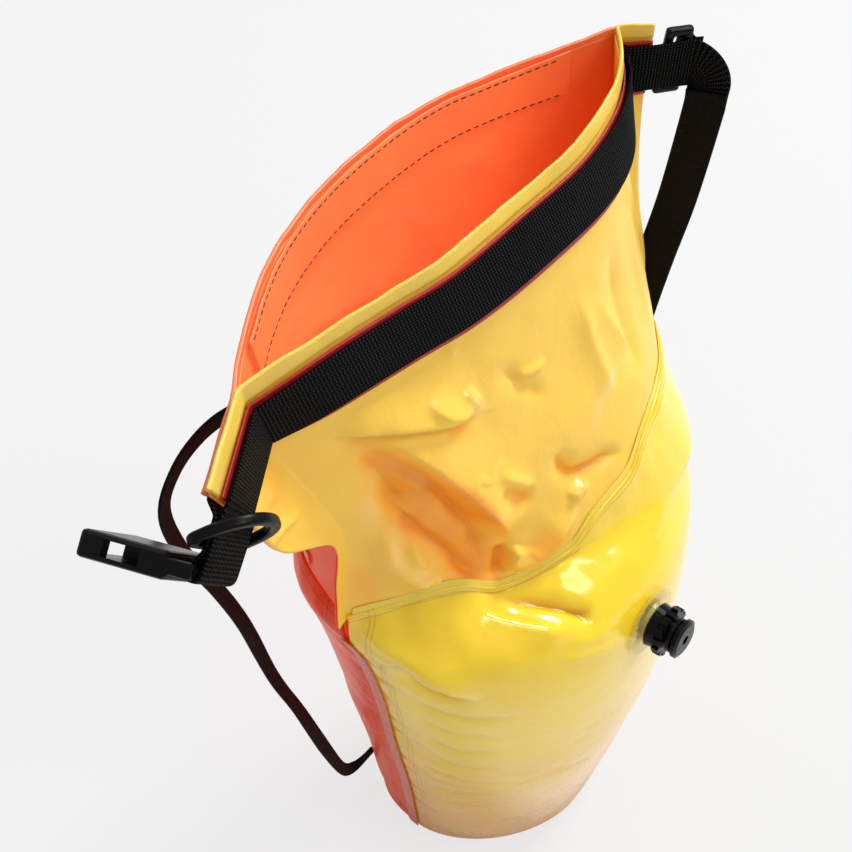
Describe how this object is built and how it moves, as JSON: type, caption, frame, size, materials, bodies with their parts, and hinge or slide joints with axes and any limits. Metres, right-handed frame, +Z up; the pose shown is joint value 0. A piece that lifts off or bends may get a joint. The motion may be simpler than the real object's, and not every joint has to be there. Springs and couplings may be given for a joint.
{
  "type": "open water swim buoy",
  "caption": "Inflated roll-top dry bag swim buoy standing open, with webbing band, side-release buckle, rings, screw valves and a thin tether.",
  "frame": {"origin": "middle of the base panel's underside, between the side seams", "axes": "+X along the mouth to the side of the closure strap, -Y out of the yellow front, +Z up"},
  "size_m": [0.3624, 0.2238, 0.4941],
  "materials": {
    "matte_yellow": "matte coated fabric",
    "glossy_yellow": "glossy translucent film",
    "orange": "satin coated fabric",
    "red_orange": "glossy film",
    "salmon": "satin film",
    "strip_white": "matte",
    "edging_red": "matte woven",
    "webbing_black": "ribbed weave",
    "strap_black": "satin weave",
    "moulded_black": "semi-gloss moulded",
    "rubber_black": "matte",
    "clear_weld": "clear film"
  },
  "bodies": {
    "bag": {"front_upper_panel": "matte_yellow", "front_rim_hem": "matte_yellow", "front_chamber_skin": "glossy_yellow", "front_inner_wall": "glossy_yellow", "front_weld_strip": "glossy_yellow", "back_upper_panel": "orange", "back_inner_wall": "orange", "base_panel": "orange", "back_rim_hem": "orange", "back_hem_lining": "orange", "back_chamber_skin": "red_orange", "back_weld_strip": "red_orange", "left_seam_strip": "salmon", "right_seam_strip": "salmon", "back_stiffener_strip": "strip_white", "red_edging_tape": "edging_red", "mouth_webbing": "webbing_black", "ring_keeper": "webbing_black", "closure_strap": "strap_black", "tether_patch_top": "strap_black", "tether_patch_foot": "strap_black", "tether_tape": "strap_black", "front_valve_body": "moulded_black", "back_valve_body": "moulded_black", "front_valve_flap": "rubber_black", "back_valve_flap": "rubber_black", "front_valve_flange": "clear_weld", "back_valve_flange": "clear_weld"},
    "left_d_ring": {"left_d_ring": "moulded_black"},
    "right_ring": {"right_ring": "moulded_black"},
    "buckle_socket": {"buckle_socket": "moulded_black"},
    "buckle_plug": {"buckle_plug": "moulded_black"},
    "plug_arm_near": {"plug_arm_near": "moulded_black"},
    "plug_arm_far": {"plug_arm_far": "moulded_black"},
    "front_valve_ring": {"front_valve_ring": "moulded_black"},
    "front_valve_mouthpiece": {"front_valve_mouthpiece": "moulded_black"},
    "back_valve_ring": {"back_valve_ring": "moulded_black"},
    "back_valve_mouthpiece": {"back_valve_mouthpiece": "moulded_black"}
  },
  "joints": [
    {"name": "left_d_ring_swing", "type": "hinge", "parent": "bag", "child": "left_d_ring", "pos_m": [-0.18595, 0.00968, 0.45474], "axis": [0.5689, 0.0518, -0.8208], "range_deg": [-4, 40]},
    {"name": "right_ring_swing", "type": "hinge", "parent": "bag", "child": "right_ring", "pos_m": [0.13663, 0.0295, 0.47489], "axis": [0.0082, 0.0783, -0.9969], "range_deg": [0, 60]},
    {"name": "buckle_socket_swing", "type": "hinge", "parent": "bag", "child": "buckle_socket", "pos_m": [-0.19278, 0.00398, 0.44965], "axis": [0.5689, 0.0518, -0.8208], "range_deg": [-90, 0]},
    {"name": "buckle_plug_swing", "type": "hinge", "parent": "bag", "child": "buckle_plug", "pos_m": [0.12395, 0.02993, 0.16986], "axis": [0.299, -0.954, -0.022], "range_deg": [-15, 70]},
    {"name": "plug_arm_near_flex", "type": "hinge", "parent": "buckle_plug", "child": "plug_arm_near", "pos_m": [0.12605, 0.02099, 0.15437], "axis": [-0.9529, -0.3, 0.044], "range_deg": [-5, 1], "stiffness_Nm_per_rad": 0.8},
    {"name": "plug_arm_far_flex", "type": "hinge", "parent": "buckle_plug", "child": "plug_arm_far", "pos_m": [0.12037, 0.03911, 0.15479], "axis": [-0.9529, -0.3, 0.044], "range_deg": [-1, 5], "stiffness_Nm_per_rad": 0.8},
    {"name": "front_valve_turn", "type": "hinge", "parent": "bag", "child": "front_valve_ring", "pos_m": [-0.001, -0.0783, 0.262], "axis": [0.005, -0.9893, 0.146], "range_deg": [0, 180]},
    {"name": "front_valve_rise", "type": "slide", "parent": "bag", "child": "front_valve_mouthpiece", "axis": [0.005, -0.9893, 0.146], "range_m": [0, 0.003]},
    {"name": "back_valve_turn", "type": "hinge", "parent": "bag", "child": "back_valve_ring", "pos_m": [-0.02, 0.10107, 0.262], "axis": [-0.049, 0.9959, -0.076], "range_deg": [0, 180]},
    {"name": "back_valve_rise", "type": "slide", "parent": "bag", "child": "back_valve_mouthpiece", "axis": [-0.049, 0.9959, -0.076], "range_m": [0, 0.003]}
  ],
  "couplings": [
    {"joint": "front_valve_rise", "follows": "front_valve_turn", "m_per_rad": 0.00095493},
    {"joint": "back_valve_rise", "follows": "back_valve_turn", "m_per_rad": 0.00095493}
  ]
}
